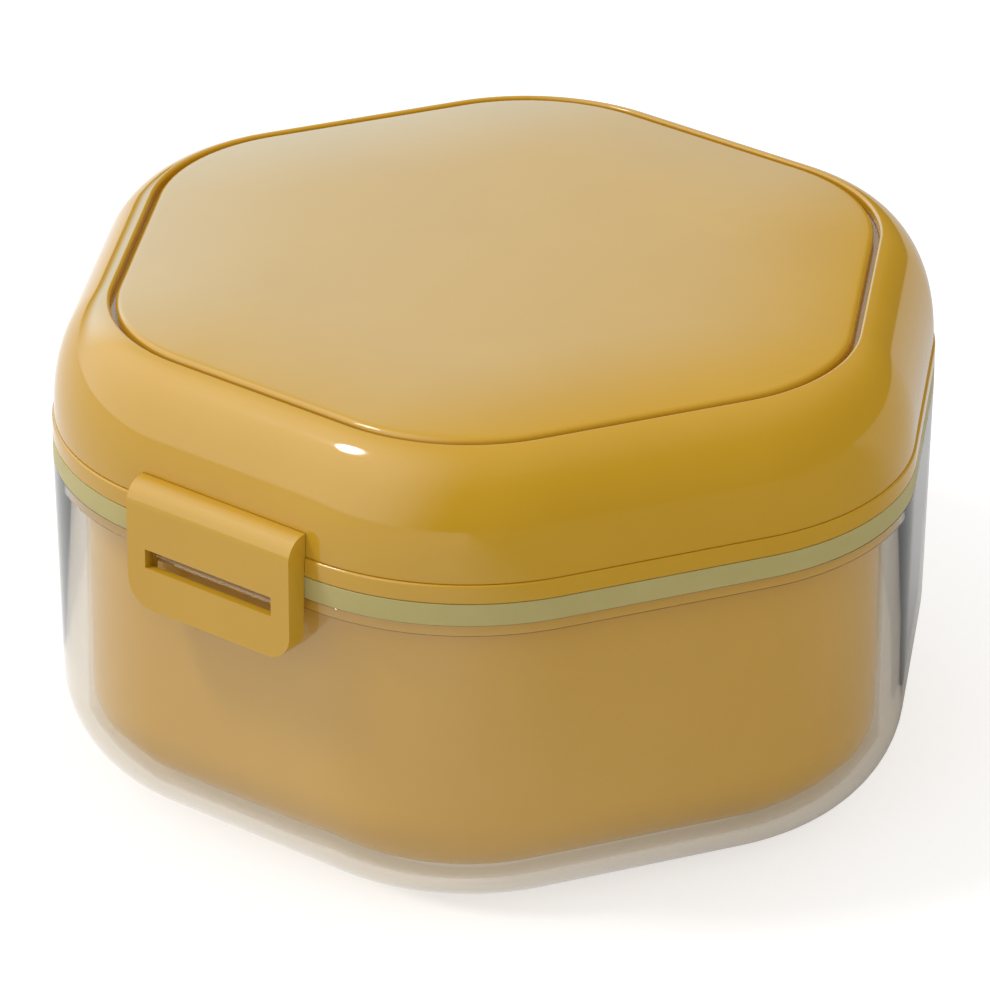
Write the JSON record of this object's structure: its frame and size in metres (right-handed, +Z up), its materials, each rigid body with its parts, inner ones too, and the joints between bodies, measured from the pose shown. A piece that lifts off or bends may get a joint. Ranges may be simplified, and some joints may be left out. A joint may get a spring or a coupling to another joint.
{
  "type": "denture case",
  "caption": "Six-sided two-layer denture case: clear bowl, hanging drain basket, silicone seal, hinged domed lid and swing clasp.",
  "frame": {"origin": "centre of the flat face under the bowl, on which the case stands", "axes": "+Z up through the lid, -Y towards the clasp, +Y towards the hinge, +X to the right of someone facing the clasp"},
  "size_m": [0.0962, 0.0972, 0.0538],
  "materials": {
    "clear_plastic": "clear polished polystyrene",
    "mustard_gloss": "glossy mustard polypropylene",
    "mustard_tub": "smooth mustard polypropylene",
    "seal_silicone": "satin pale grey-green silicone",
    "pin_steel": "drawn stainless steel"
  },
  "bodies": {
    "bowl": {"outer_bowl": "clear_plastic", "drain_basket": "mustard_tub"},
    "lid": {"lid_frame": "mustard_gloss", "lid_cover": "mustard_gloss", "top_plate": "mustard_gloss", "seal_ring": "seal_silicone", "hinge_pin": "pin_steel"},
    "latch": {"clasp": "mustard_gloss", "clasp_pin": "pin_steel"}
  },
  "joints": [
    {"name": "lid_hinge", "type": "hinge", "parent": "bowl", "child": "lid", "pos_m": [0, 0.0475, 0.0372], "axis": [-1, 0, 0], "range_deg": [0, 110]},
    {"name": "clasp_hinge", "type": "hinge", "parent": "lid", "child": "latch", "pos_m": [0, -0.0451, 0.0408], "axis": [-1, 0, 0], "range_deg": [0, 95]}
  ]
}
